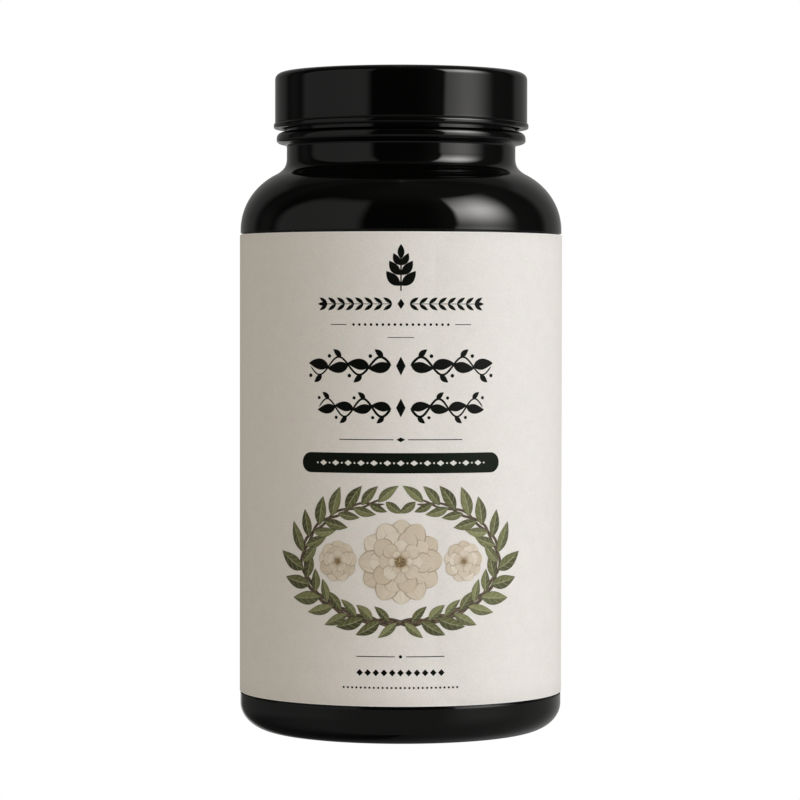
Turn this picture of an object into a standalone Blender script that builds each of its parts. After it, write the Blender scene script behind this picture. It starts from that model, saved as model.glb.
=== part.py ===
"""A supplement bottle with a smooth screw cap.

Four pieces: the bottle, its cap, the liner inside the cap and the paper label round the wall.
Metres, +Z up. The origin is the centre of the standing ring, on the surface that the bottle
stands on, and the label's front faces -Y.

The neck and the cap carry right-hand threads of one pitch. The cap's thread lies a little
under the neck's, so turning the cap anticlockwise, seen from above, lifts it by one pitch a turn.
"""

import math

import bpy
import numpy as np

MM = 0.001
FACETS = 48  # round every turned piece
GAP = 0.3 * MM  # between pieces that touch

# Bottle: the wall and the base
BODY_RADIUS = 30.0 * MM
WALL = 1.1 * MM
HEEL_REACH = 6.64 * MM
HEEL_HEIGHT = 5.18 * MM
RING_WIDTH = 1.5 * MM
PUSH_UP = 3.0 * MM
PUSH_UP_POWER = 2.6  # a superellipse: over 2 gives a flatter dome with a steeper edge

# Bottle: the shoulder is a hollow fillet under the neck that turns into a full round
SHOULDER_START = 93.35 * MM
SHOULDER_TURN_RADIUS = 23.54 * MM
SHOULDER_TURN_HEIGHT = 103.75 * MM
SHOULDER_SLOPE = math.radians(26.8)
SHOULDER_FULLNESS = 5.4 * MM
SHOULDER_OUTWARD = 3.35 * MM
FILLET_TOP = 107.05 * MM
FILLET_INWARD = 2.05 * MM
FILLET_DROP = 1.4 * MM

# Bottle: the neck, its transfer bead and its mouth
NECK_RADIUS = 21.37 * MM
NECK_WALL = 2.25 * MM
BEAD_HEIGHT = 110.33 * MM
BEAD_REACH = 1.91 * MM
BEAD_UP = 1.45 * MM
BEAD_DOWN = 0.88 * MM
BEAD_POWER = 2.75
BEAD_FILLET = 0.6 * MM  # the hollow that leads from under the bead into the neck
LAND_TOP = 112.8 * MM
ROOT_BOTTOM = 113.4 * MM
ROOT_RADIUS = 20.9 * MM
MOUTH_CHAMFER = 0.35 * MM

# Cap, in heights above its own lower edge
CAP_HEIGHT = 10.51 * MM
CAP_RADIUS = 23.57 * MM
CAP_TOP = 1.1 * MM
CAP_INNER_RADIUS = 22.35 * MM
CAP_EDGE_REACH = 1.95 * MM
CAP_EDGE_DROP = 1.5 * MM
CAP_EDGE_POWER = 2.35
LIP_RADIUS = 23.82 * MM
LIP_HEIGHT = 1.05 * MM
LIP_ROUND = 0.38 * MM
CAP_CORNER = 0.4 * MM
CAP_BOTTOM = 112.39 * MM

# Liner
LINER_RADIUS = 21.9 * MM
LINER_THICKNESS = 0.8 * MM
LINER_TOP = CAP_BOTTOM + CAP_HEIGHT - CAP_TOP - GAP
MOUTH_HEIGHT = LINER_TOP - LINER_THICKNESS - GAP

# Threads: round beads sunk a little into the wall that carries them
PITCH = 25.4 / 6 * MM
NECK_THREAD_BEAD = 1.15 * MM
CAP_THREAD_BEAD = 0.95 * MM
THREAD_SINK = 0.1 * MM
NECK_THREAD_LOW = 114.87 * MM
NECK_THREAD_TURNS = 1.0
CAP_THREAD_BELOW = 1.9 * MM  # the cap's thread under the neck's, at the same angle
CAP_THREAD_START = 0.25  # turns after the neck's thread starts
CAP_THREAD_TURNS = 1.0
THREAD_RUN_OUT = 3  # facets over which a thread's end tapers
THREAD_END = 0.35  # its radius there, as a share

# Label, a sheet of paper in a shallow panel
LABEL_LOW = 7.42 * MM
LABEL_HIGH = 92.56 * MM
LABEL_RADIUS = 30.12 * MM
PAPER = 0.17 * MM
PANEL_RADIUS = LABEL_RADIUS - PAPER - GAP
LABEL_SPLIT = math.radians(4)  # between its two ends, at the back


def superellipse(centre, reach, start, end, steps, power=2.0):
    """Points where |x/a|^power + |y/b|^power = 1 about the centre, between two angles in degrees."""
    angles = np.radians(np.linspace(start, end, steps + 1))
    across, up = np.cos(angles), np.sin(angles)
    x = np.sign(across) * np.abs(across) ** (2 / power)
    y = np.sign(up) * np.abs(up) ** (2 / power)
    return np.stack([centre[0] + reach[0] * x, centre[1] + reach[1] * y], axis=1)


def cubic(start, leave, arrive, end, steps):
    """Points along a cubic curve that leaves its start towards one handle and arrives from the other."""
    t = np.linspace(0, 1, steps + 1)[:, None]
    handles = [np.array(point) for point in (start, leave, arrive, end)]
    weights = [(1 - t) ** 3, 3 * (1 - t) ** 2 * t, 3 * (1 - t) * t**2, t**3]
    return sum(weight * handle for weight, handle in zip(weights, handles))


def shoulder_line(fillet_steps, round_steps):
    """The outside of the shoulder, from under the neck down to the wall."""
    along = np.array([math.cos(SHOULDER_SLOPE), -math.sin(SHOULDER_SLOPE)])
    turn = np.array([SHOULDER_TURN_RADIUS, SHOULDER_TURN_HEIGHT])
    fillet = cubic(
        (NECK_RADIUS, FILLET_TOP),
        (NECK_RADIUS, FILLET_TOP - FILLET_DROP),
        turn - along * FILLET_INWARD,
        turn,
        fillet_steps,
    )
    round_part = cubic(
        turn,
        turn + along * SHOULDER_OUTWARD,
        (BODY_RADIUS, SHOULDER_START + SHOULDER_FULLNESS),
        (BODY_RADIUS, SHOULDER_START),
        round_steps,
    )
    return np.concatenate([fillet, round_part[1:]])


def moved_in(line, first, last):
    """A line that runs down an outside, plumb at both ends, moved in by a thickness that changes evenly."""
    tangent = np.gradient(line, axis=0)
    tangent[0] = tangent[-1] = (0, -1)
    tangent /= np.linalg.norm(tangent, axis=1)[:, None]
    thickness = np.linspace(first, last, len(line))
    inward = np.stack([tangent[:, 1], -tangent[:, 0]], axis=1)
    return line + inward * thickness[:, None]


def bottle_profile():
    """From the middle of the base's inside up to the mouth, then down the outside to the base's middle."""
    heel_centre = (BODY_RADIUS - HEEL_REACH, HEEL_HEIGHT)
    heel_inside = (HEEL_REACH - WALL, HEEL_HEIGHT - WALL)
    ring_inner = BODY_RADIUS - HEEL_REACH - RING_WIDTH
    bore = NECK_RADIUS - NECK_WALL
    bead = (NECK_RADIUS, BEAD_HEIGHT)
    under_bead = (NECK_RADIUS + BEAD_FILLET, BEAD_HEIGHT - BEAD_DOWN - BEAD_FILLET)
    return np.concatenate([
        superellipse((0, WALL), (ring_inner + WALL, PUSH_UP), 90, 0, 5, PUSH_UP_POWER),
        superellipse(heel_centre, heel_inside, -90, 0, 4),
        moved_in(shoulder_line(2, 4), NECK_WALL, WALL)[::-1],
        [
            (bore, MOUTH_HEIGHT - MOUTH_CHAMFER),
            (bore + MOUTH_CHAMFER, MOUTH_HEIGHT),
            (ROOT_RADIUS - MOUTH_CHAMFER, MOUTH_HEIGHT),
            (ROOT_RADIUS, MOUTH_HEIGHT - MOUTH_CHAMFER),
            (ROOT_RADIUS, ROOT_BOTTOM),
            (NECK_RADIUS, LAND_TOP),
        ],
        superellipse(bead, (BEAD_REACH, BEAD_UP), 90, 0, 4, BEAD_POWER),
        superellipse(bead, (BEAD_REACH, BEAD_DOWN), 0, -76, 4, BEAD_POWER)[1:],
        superellipse(under_bead, (BEAD_FILLET, BEAD_FILLET), 90, 180, 3),
        shoulder_line(4, 7),
        [
            (BODY_RADIUS, LABEL_HIGH + GAP),
            (PANEL_RADIUS, LABEL_HIGH + GAP),
            (PANEL_RADIUS, LABEL_LOW - GAP),
            (BODY_RADIUS, LABEL_LOW - GAP),
        ],
        superellipse(heel_centre, (HEEL_REACH, HEEL_HEIGHT), 0, -90, 6),
        superellipse((0, 0), (ring_inner, PUSH_UP), 0, 90, 5, PUSH_UP_POWER),
    ])


def cap_profile():
    """From the middle of the top, down the outside to the lip and up the inside to the middle again."""
    edge_centre = (CAP_RADIUS - CAP_EDGE_REACH, CAP_HEIGHT - CAP_EDGE_DROP)
    lip_inner = LIP_RADIUS - LIP_ROUND
    ceiling = CAP_HEIGHT - CAP_TOP
    return np.concatenate([
        [(0, CAP_HEIGHT)],
        superellipse(edge_centre, (CAP_EDGE_REACH, CAP_EDGE_DROP), 90, 0, 5, CAP_EDGE_POWER),
        [(CAP_RADIUS, LIP_HEIGHT), (LIP_RADIUS, LIP_HEIGHT - LIP_ROUND / 2)],
        superellipse((lip_inner, LIP_ROUND), (LIP_ROUND, LIP_ROUND), 0, -90, 2),
        [
            (CAP_INNER_RADIUS + LIP_ROUND, 0),
            (CAP_INNER_RADIUS, LIP_ROUND),
            (CAP_INNER_RADIUS, ceiling - CAP_CORNER),
            (CAP_INNER_RADIUS - CAP_CORNER, ceiling),
            (0, ceiling),
        ],
    ])


def liner_profile():
    """A plain disc, from the middle of its top round its rim to the middle of its underside."""
    return [(0, 0), (LINER_RADIUS, 0), (LINER_RADIUS, -LINER_THICKNESS), (0, -LINER_THICKNESS)]


def collection(name):
    made = bpy.data.collections.new(name)
    bpy.context.scene.collection.children.link(made)
    return made


def material(name, color, roughness):
    made = bpy.data.materials.new(name)
    made.use_nodes = True
    shader = made.node_tree.nodes["Principled BSDF"]
    shader.inputs["Base Color"].default_value = (*color, 1)
    shader.inputs["Roughness"].default_value = roughness
    shader.inputs["Metallic"].default_value = 0
    return made


def line_object(name, profile, group, turn=0.0):
    """The profile as a bare line of edges in the half plane at an angle from +X."""
    mesh = bpy.data.meshes.new(name)
    corners = [(r * math.cos(turn), r * math.sin(turn), z) for r, z in profile]
    mesh.from_pydata(corners, [(i, i + 1) for i in range(len(corners) - 1)], [])
    made = bpy.data.objects.new(name, mesh)
    group.objects.link(made)
    return made


def turned(made, angle=2 * math.pi):
    screw = made.modifiers.new("Turned", "SCREW")
    screw.angle = angle
    screw.steps = screw.render_steps = FACETS
    screw.use_merge_vertices = angle == 2 * math.pi
    screw.merge_threshold = 0.001 * MM
    return made


def thread(name, radius, bead, low, start, turns, helpers):
    """A right-hand helix of a round bead, thin at both ends, as a closed mesh. start and turns are in turns."""
    steps = round(turns * FACETS)
    angles = 2 * math.pi * (start + np.linspace(0, turns, steps + 1))
    from_end = np.minimum(np.arange(steps + 1), np.arange(steps, -1, -1))
    share = THREAD_END + (1 - THREAD_END) * np.minimum(from_end / THREAD_RUN_OUT, 1)
    curve = bpy.data.curves.new(name + "_path", "CURVE")
    curve.dimensions = "3D"
    curve.twist_mode = "Z_UP"
    curve.bevel_depth = bead
    curve.bevel_resolution = 2
    curve.use_fill_caps = True
    spline = curve.splines.new("POLY")
    spline.points.add(steps)
    for point, angle, thin in zip(spline.points, angles, share):
        height = low + PITCH * angle / (2 * math.pi)
        point.co = (radius * math.cos(angle), radius * math.sin(angle), height, 1)
        point.radius = thin
    path = bpy.data.objects.new(name + "_path", curve)
    helpers.objects.link(path)
    made = bpy.data.objects.new(name, evaluated_mesh(path))
    bpy.data.objects.remove(path)
    weld = made.modifiers.new("Weld", "WELD")
    weld.merge_threshold = 0.001 * MM
    made.display_type = "WIRE"
    made.hide_render = True
    helpers.objects.link(made)
    return made


def evaluated_mesh(source):
    bpy.context.view_layer.update()
    graph = bpy.context.evaluated_depsgraph_get()
    return bpy.data.meshes.new_from_object(source.evaluated_get(graph))


def join(made, other):
    union = made.modifiers.new("Thread", "BOOLEAN")
    union.operation = "UNION"
    union.object = other


def finish(made, finish_material, smooth_under=math.radians(35)):
    """Applies the modifiers, shades the round stretches smooth and gives the piece its material."""
    mesh = evaluated_mesh(made)
    made.modifiers.clear()
    made.data = mesh
    mesh.name = made.name
    mesh.materials.clear()
    mesh.materials.append(finish_material)
    mesh.shade_smooth()
    mesh.set_sharp_from_angle(angle=smooth_under)


def axis_empty(name, group, parent=None):
    """An empty that marks a joint on the bottle's axis, level with the cap's lower edge."""
    made = bpy.data.objects.new(name, None)
    made.empty_display_size = BODY_RADIUS
    group.objects.link(made)
    made.parent = parent
    if parent is None:
        made.location.z = CAP_BOTTOM
    return made


def make_bottle(parts, helpers):
    made = turned(line_object("bottle", bottle_profile(), parts))
    join(made, thread(
        "neck_thread", ROOT_RADIUS - THREAD_SINK, NECK_THREAD_BEAD,
        NECK_THREAD_LOW, 0, NECK_THREAD_TURNS, helpers,
    ))
    finish(made, material("bottle_plastic", (0.012, 0.012, 0.012), 0.08))


def make_cap(parts, helpers, axis):
    made = turned(line_object("cap", cap_profile(), parts))
    low = NECK_THREAD_LOW - CAP_THREAD_BELOW - CAP_BOTTOM
    join(made, thread(
        "cap_thread", CAP_INNER_RADIUS + THREAD_SINK, CAP_THREAD_BEAD,
        low, CAP_THREAD_START, CAP_THREAD_TURNS, helpers,
    ))
    finish(made, material("cap_plastic", (0.014, 0.014, 0.014), 0.1))
    made.parent = axis


def make_liner(parts, axis):
    made = turned(line_object("liner", liner_profile(), parts))
    finish(made, material("liner_foam", (0.82, 0.82, 0.8), 0.7))
    made.parent = axis
    made.location.z = LINER_TOP - CAP_BOTTOM


def make_label(parts):
    """The sheet's outside, from one end to the other round the front, thickened inwards."""
    sheet = [(LABEL_RADIUS, LABEL_HIGH), (LABEL_RADIUS, LABEL_LOW)]
    first_end = math.pi / 2 + LABEL_SPLIT / 2
    made = turned(line_object("label", sheet, parts, first_end), 2 * math.pi - LABEL_SPLIT)
    paper = made.modifiers.new("Paper", "SOLIDIFY")
    paper.thickness = PAPER
    paper.offset = -1
    finish(made, material("label_paper", (0.66, 0.63, 0.57), 0.75))


def main():
    for old in list(bpy.data.objects):
        bpy.data.objects.remove(old)
    parts = collection("supplement_bottle")
    helpers = collection("helpers")
    rise = axis_empty("cap_rise_axis", parts)
    turn = axis_empty("cap_turn_axis", parts, rise)
    make_bottle(parts, helpers)
    make_cap(parts, helpers, turn)
    make_liner(parts, rise)
    make_label(parts)


main()
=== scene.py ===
"""The looks of a glossy black supplement bottle with a smooth screw cap and a printed paper label.

The pieces are surfaces worked out with numpy. The bottle, the cap and the liner are profiles
carried round the bottle's axis, the label is a sheet wrapped on a cylinder, and each stroke of
its print is a thin slab of ink carried along a line on the paper. Metres, in the frame of the
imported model: +Z up, the bottle stands on z = 0 and the label's front faces -Y.
"""

import math

import bpy
import numpy as np
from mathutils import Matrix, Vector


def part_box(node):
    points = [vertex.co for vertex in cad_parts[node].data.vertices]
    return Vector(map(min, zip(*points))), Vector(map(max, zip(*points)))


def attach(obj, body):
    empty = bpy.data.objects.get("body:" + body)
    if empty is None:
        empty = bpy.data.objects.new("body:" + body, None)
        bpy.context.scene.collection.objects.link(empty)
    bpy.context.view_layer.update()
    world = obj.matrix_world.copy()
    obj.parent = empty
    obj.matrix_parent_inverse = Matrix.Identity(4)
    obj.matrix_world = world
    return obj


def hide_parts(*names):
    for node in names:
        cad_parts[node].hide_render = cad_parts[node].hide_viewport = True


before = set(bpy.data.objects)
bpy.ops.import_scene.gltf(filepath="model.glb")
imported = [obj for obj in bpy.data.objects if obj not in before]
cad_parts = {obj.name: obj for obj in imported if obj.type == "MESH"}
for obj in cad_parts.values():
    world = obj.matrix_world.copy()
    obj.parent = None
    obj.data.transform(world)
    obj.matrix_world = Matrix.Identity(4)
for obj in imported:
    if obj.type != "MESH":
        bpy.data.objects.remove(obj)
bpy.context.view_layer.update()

MM = 0.001
AROUND = 360  # steps round a turned piece
NECK_ROWS = 56  # levels up the wall that carries the neck's thread
CAP_ROWS = 70  # levels up the wall that carries the cap's thread
SHARP_OVER = math.radians(50)  # an edge that turns more than this stays sharp
SUPPORT = 0.12 * MM  # keeps a flat stretch's shading flat up to its rounded edge

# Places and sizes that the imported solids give
BODY_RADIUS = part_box("bottle")[1].x
MOUTH_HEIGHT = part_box("bottle")[1].z
LIP_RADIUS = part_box("cap")[1].x
CAP_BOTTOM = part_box("cap")[0].z
CAP_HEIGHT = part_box("cap")[1].z - CAP_BOTTOM
LINER_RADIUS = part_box("liner")[1].x
LINER_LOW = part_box("liner")[0].z
LINER_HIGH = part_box("liner")[1].z
LABEL_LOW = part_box("label")[0].z
LABEL_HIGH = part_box("label")[1].z

# Bottle: the wall, the heel and the base
WALL = 1.1 * MM
HEEL_REACH = 6.64 * MM
HEEL_HEIGHT = 5.18 * MM
RING_WIDTH = 1.5 * MM
PUSH_UP = 3.0 * MM
PUSH_UP_POWER = 2.6
GATE_NUB = 0.3 * MM
GATE_NUB_RADIUS = 1.3 * MM

# Bottle: the panel that the label lies in
GAP = 0.3 * MM
PANEL_RADIUS = 29.65 * MM
PANEL_EDGE = 0.07 * MM

# Bottle: the shoulder, a hollow fillet under the neck that turns into a full round
SHOULDER_START = 93.35 * MM
SHOULDER_TURN_RADIUS = 23.54 * MM
SHOULDER_TURN_HEIGHT = 103.75 * MM
SHOULDER_SLOPE = math.radians(26.8)
SHOULDER_FULLNESS = 5.4 * MM
SHOULDER_OUTWARD = 3.35 * MM
FILLET_TOP = 107.05 * MM
FILLET_INWARD = 2.05 * MM
FILLET_DROP = 1.4 * MM

# Bottle: the neck, its transfer bead, the land above it and the mouth
NECK_RADIUS = 21.37 * MM
NECK_WALL = 2.25 * MM
BEAD_HEIGHT = 110.33 * MM
BEAD_REACH = 1.91 * MM
BEAD_UP = 1.45 * MM
BEAD_DOWN = 0.88 * MM
BEAD_POWER = 2.75
BEAD_FILLET = 0.6 * MM  # the hollow that leads from under the bead into the neck
LAND_TOP = 112.8 * MM
ROOT_BOTTOM = 113.4 * MM
ROOT_RADIUS = 20.9 * MM
MOUTH_ROUND = 0.35 * MM
LAND_LEAN = 0.02 * MM  # the land leans out by this towards the cap

# Cap, in heights above its own lower edge
CAP_RADIUS = 23.57 * MM
CAP_TOP = 1.1 * MM
CAP_INNER_RADIUS = 22.35 * MM
CAP_EDGE_REACH = 1.95 * MM
CAP_EDGE_DROP = 1.5 * MM
CAP_EDGE_POWER = 2.35
LIP_HEIGHT = 1.05 * MM
LIP_ROUND = 0.3 * MM
LIP_SHOULDER_REACH = 0.33 * MM  # starts inside the wall, so a fine groove runs over the lip
LIP_SHOULDER_DROP = 0.42 * MM
GROOVE = 0.08 * MM  # the groove's height at the wall
CAP_CORNER = 0.4 * MM
GATE_MARK = 0.05 * MM
GATE_MARK_RADIUS = 1.4 * MM

# Threads, one right-hand turn each, the cap's a little under the neck's
PITCH = 25.4 / 6 * MM
NECK_THREAD_LOW = 114.87 * MM
NECK_THREAD_REACH = 1.05 * MM
NECK_THREAD_HALF = 1.2 * MM
NECK_THREAD_FLANK = 0.85 * MM
CAP_THREAD_BELOW = 1.9 * MM
CAP_THREAD_START = 0.25
CAP_THREAD_REACH = 0.85 * MM
CAP_THREAD_HALF = 1.02 * MM
CAP_THREAD_FLANK = 0.75 * MM
THREAD_FADE = 0.09  # turns over which a thread's end runs out

# Liner, with the ring that the mouth has pressed into it
LINER_EDGE = 0.15 * MM
LINER_PRESSED = 0.06 * MM
LINER_PRESSED_HALF = 1.1 * MM

# Label
LABEL_RADIUS = 30.12 * MM
PAPER = 0.17 * MM
PAPER_EDGE = 0.03 * MM
LABEL_SPLIT = math.radians(4)  # between its two ends, at the back
LABEL_STATIONS = 720
LABEL_ROWS = 24
EDGE_HIGHLIGHT_BAND = 0.2 * MM  # how far in from a cut the painted edge highlight reaches

# Print: a slab of ink stands this far off the paper, and each layer over it a little more
INK = 0.008 * MM
INK_BASE = 0.012 * MM
INK_LAYER = 0.009 * MM
INK_UNDERSIDE = 0.002 * MM

# Camera, as in the photograph: a long lens a little above the bottle's middle
LENS = 157.5
SENSOR = 36.0
CAMERA_DISTANCE = 655.8 * MM
CAMERA_HEIGHT = 76.76 * MM
CAMERA_ASIDE = -0.167 * MM
CAMERA_DOWN = math.radians(1.313)
CAMERA_ROLL = math.radians(-0.075)

# Key light and floor
KEY_WIDTH = 1.0
KEY_HEIGHT = 1.4
KEY_POWER = 9.0
KEY_COLOR = (0.873, 0.927, 1.0)
KEY_AZIMUTH = math.radians(55)  # round to the right from the front
KEY_DISTANCE = 0.9
KEY_MIDDLE = 0.06  # its middle's height
FLOOR_HALF = 3.0
FLOOR_DROP = 0.1 * MM


# Profiles


def smooth_step(x):
    """3x^2 - 2x^3 between 0 and 1, and flat outside."""
    x = np.clip(x, 0, 1)
    return x * x * (3 - 2 * x)


def superellipse(centre, reach, start, end, steps, power=2.0):
    """Points where |x/a|^power + |y/b|^power = 1 about the centre, between two angles in degrees."""
    angles = np.radians(np.linspace(start, end, steps + 1))
    across, up = np.cos(angles), np.sin(angles)
    x = np.sign(across) * np.abs(across) ** (2 / power)
    y = np.sign(up) * np.abs(up) ** (2 / power)
    return np.stack([centre[0] + reach[0] * x, centre[1] + reach[1] * y], axis=1)


def cubic(start, leave, arrive, end, steps):
    """Points along a cubic curve that leaves its start towards one handle and arrives from the other."""
    t = np.linspace(0, 1, steps + 1)[:, None]
    handles = [np.array(point) for point in (start, leave, arrive, end)]
    weights = [(1 - t) ** 3, 3 * (1 - t) ** 2 * t, 3 * (1 - t) * t**2, t**3]
    return sum(weight * handle for weight, handle in zip(weights, handles))


def eased(corners, cut, steps=5):
    """A line through corners, each inner one cut back and rounded by (1-t)^2 a + 2(1-t)t corner + t^2 b."""
    corners = np.array(corners)
    t = np.linspace(0, 1, steps + 1)[:, None]
    line = [corners[:1]]
    for before, corner, after in zip(corners[:-2], corners[1:-1], corners[2:]):
        a = corner + (before - corner) / np.linalg.norm(before - corner) * cut
        b = corner + (after - corner) / np.linalg.norm(after - corner) * cut
        line.append((1 - t) ** 2 * a + 2 * (1 - t) * t * corner + t**2 * b)
    line.append(corners[-1:])
    return np.concatenate(line)


def supported(line):
    """The line with a point set a little way in from both ends of each long straight stretch."""
    line = np.array(line)
    made = [line[:1]]
    for a, b in zip(line[:-1], line[1:]):
        length = np.linalg.norm(b - a)
        if length > 4 * SUPPORT:
            step = (b - a) / length * SUPPORT
            made.append(np.array([a + step, b - step]))
        if length > 0.001 * MM:
            made.append(b[None])
    return np.concatenate(made)


def shoulder_line(fillet_steps, round_steps):
    """The outside of the shoulder, from under the neck down to the wall."""
    along = np.array([math.cos(SHOULDER_SLOPE), -math.sin(SHOULDER_SLOPE)])
    turn = np.array([SHOULDER_TURN_RADIUS, SHOULDER_TURN_HEIGHT])
    fillet = cubic(
        (NECK_RADIUS, FILLET_TOP),
        (NECK_RADIUS, FILLET_TOP - FILLET_DROP),
        turn - along * FILLET_INWARD,
        turn,
        fillet_steps,
    )
    round_part = cubic(
        turn,
        turn + along * SHOULDER_OUTWARD,
        (BODY_RADIUS, SHOULDER_START + SHOULDER_FULLNESS),
        (BODY_RADIUS, SHOULDER_START),
        round_steps,
    )
    return np.concatenate([fillet, round_part[1:]])


def moved_in(line, first, last):
    """A line that runs down an outside, plumb at both ends, moved in by a thickness that changes evenly."""
    tangent = np.gradient(line, axis=0)
    tangent[0] = tangent[-1] = (0, -1)
    tangent /= np.linalg.norm(tangent, axis=1)[:, None]
    thickness = np.linspace(first, last, len(line))
    inward = np.stack([tangent[:, 1], -tangent[:, 0]], axis=1)
    return line + inward * thickness[:, None]


def bottle_profile():
    """From the middle of the base's inside up to the mouth, then down the outside to the base's middle."""
    heel_centre = (BODY_RADIUS - HEEL_REACH, HEEL_HEIGHT)
    heel_inside = (HEEL_REACH - WALL, HEEL_HEIGHT - WALL)
    ring_inner = BODY_RADIUS - HEEL_REACH - RING_WIDTH
    bore = NECK_RADIUS - NECK_WALL
    bead = (NECK_RADIUS, BEAD_HEIGHT)
    bead_up = superellipse(bead, (BEAD_REACH, BEAD_UP), 90, 0, 14, BEAD_POWER)
    bead_down = superellipse(bead, (BEAD_REACH, BEAD_DOWN), 0, -76, 14, BEAD_POWER)
    under_bead = (NECK_RADIUS + BEAD_FILLET, BEAD_HEIGHT - BEAD_DOWN - BEAD_FILLET)
    mouth = eased([
        (bore, MOUTH_HEIGHT - 1 * MM),
        (bore, MOUTH_HEIGHT),
        (ROOT_RADIUS, MOUTH_HEIGHT),
        (ROOT_RADIUS, MOUTH_HEIGHT - 2 * MOUTH_ROUND),
    ], MOUTH_ROUND)
    finish_heights = np.linspace(MOUTH_HEIGHT - 2 * MOUTH_ROUND, ROOT_BOTTOM, NECK_ROWS)[1:-1]
    finish_rows = np.stack([np.full(len(finish_heights), ROOT_RADIUS), finish_heights], axis=1)
    land = eased([
        (ROOT_RADIUS, ROOT_BOTTOM),
        (ROOT_RADIUS, ROOT_BOTTOM - 0.1 * MM),
        (NECK_RADIUS + LAND_LEAN, LAND_TOP),
        (NECK_RADIUS, BEAD_HEIGHT + BEAD_UP),
    ], 0.08 * MM, 3)[:-1]
    panel = eased([
        (BODY_RADIUS, SHOULDER_START - 0.2 * MM),
        (BODY_RADIUS, LABEL_HIGH + GAP),
        (PANEL_RADIUS, LABEL_HIGH + GAP),
        (PANEL_RADIUS, LABEL_LOW - GAP),
        (BODY_RADIUS, LABEL_LOW - GAP),
        (BODY_RADIUS, LABEL_LOW - GAP - 0.5 * MM),
    ], PANEL_EDGE, 4)
    base = superellipse((0, 0), (ring_inner, PUSH_UP), 0, 90, 24, PUSH_UP_POWER)
    nub = GATE_NUB * (1 - smooth_step(base[:, 0] / GATE_NUB_RADIUS))
    base[:, 1] -= nub
    return supported(np.concatenate([
        superellipse((0, WALL), (ring_inner + WALL, PUSH_UP), 90, 0, 12, PUSH_UP_POWER),
        superellipse(heel_centre, heel_inside, -90, 0, 12),
        moved_in(shoulder_line(10, 14), NECK_WALL, WALL)[::-1],
        mouth,
        finish_rows,
        land,
        bead_up,
        bead_down[1:],
        superellipse(under_bead, (BEAD_FILLET, BEAD_FILLET), 90, 180, 12),
        shoulder_line(18, 34),
        panel,
        superellipse(heel_centre, (HEEL_REACH, HEEL_HEIGHT), 0, -90, 26),
        base,
    ]))


def cap_profile():
    """From the middle of the top, down the outside to the lip and up the inside to the middle again."""
    edge_centre = (CAP_RADIUS - CAP_EDGE_REACH, CAP_HEIGHT - CAP_EDGE_DROP)
    ceiling = CAP_HEIGHT - CAP_TOP
    mark_radius = np.linspace(0, GATE_MARK_RADIUS, 7)
    mark = CAP_HEIGHT - GATE_MARK * (1 - smooth_step(mark_radius / GATE_MARK_RADIUS * 3 - 2))
    lip_shoulder = (LIP_RADIUS - LIP_SHOULDER_REACH, LIP_HEIGHT - LIP_SHOULDER_DROP)
    wall_foot = eased([
        (CAP_RADIUS, LIP_HEIGHT + GROOVE + 0.5 * MM),
        (CAP_RADIUS, LIP_HEIGHT + GROOVE),
        (lip_shoulder[0], LIP_HEIGHT + 0.6 * GROOVE),
        (lip_shoulder[0], LIP_HEIGHT),
    ], 0.02 * MM, 3)
    corner = (CAP_INNER_RADIUS - CAP_CORNER, ceiling - CAP_CORNER)
    thread_rows = np.linspace(LIP_ROUND, ceiling - CAP_CORNER, CAP_ROWS)
    made = np.concatenate([
        np.stack([mark_radius, mark], axis=1),
        superellipse(edge_centre, (CAP_EDGE_REACH, CAP_EDGE_DROP), 90, 0, 22, CAP_EDGE_POWER),
        wall_foot,
        superellipse(lip_shoulder, (LIP_SHOULDER_REACH, LIP_SHOULDER_DROP), 90, 0, 12)[1:],
        superellipse((LIP_RADIUS - LIP_ROUND, LIP_ROUND), (LIP_ROUND, LIP_ROUND), 0, -90, 7),
        superellipse((CAP_INNER_RADIUS + LIP_ROUND, LIP_ROUND), (LIP_ROUND, LIP_ROUND), -90, -180, 5),
        np.stack([np.full(CAP_ROWS, CAP_INNER_RADIUS), thread_rows], axis=1)[1:],
        superellipse(corner, (CAP_CORNER, CAP_CORNER), 0, 90, 5),
        [(0, ceiling)],
    ])
    made = supported(made)
    made[:, 1] += CAP_BOTTOM
    return made


def liner_profile():
    """A disc with eased edges, from the middle of its top round its rim to the middle of its underside."""
    seal = (ROOT_RADIUS + NECK_RADIUS - NECK_WALL) / 2
    underside_radius = np.linspace(LINER_RADIUS - LINER_EDGE, 0, 60)
    pressed = 1 - smooth_step((np.abs(underside_radius - seal) / LINER_PRESSED_HALF) * 2 - 1)
    top = eased([
        (0, LINER_HIGH),
        (LINER_RADIUS, LINER_HIGH),
        (LINER_RADIUS, LINER_LOW),
        (LINER_RADIUS - 2 * LINER_EDGE, LINER_LOW),
    ], LINER_EDGE, 4)[:-1]
    underside = np.stack([underside_radius, LINER_LOW + LINER_PRESSED * pressed], axis=1)
    return supported(np.concatenate([top, underside]))


def thread_share(angle, height, low, start, half, flank):
    """How far a one-turn right-hand thread stands out at a point, as a share from 0 to 1.

    Its middle climbs one pitch a turn. Across it the share rises over each flank by a smooth
    step, and it fades at both ends in the same way.
    """
    turn = (angle / (2 * np.pi) - start) % 1
    middle = low + PITCH * (start + turn)
    across = smooth_step((half - np.abs(height - middle)) / flank)
    ends = smooth_step(np.minimum(turn, 1 - turn) / THREAD_FADE)
    return across * ends


def neck_thread(angle, radius, height):
    """The neck's thread stands out from the root, and nowhere else."""
    share = thread_share(angle, height, NECK_THREAD_LOW, 0, NECK_THREAD_HALF, NECK_THREAD_FLANK)
    on_root = (radius > ROOT_RADIUS - 0.3 * MM) & (height > ROOT_BOTTOM)
    return radius + np.where(on_root, NECK_THREAD_REACH * share, 0)


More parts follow.
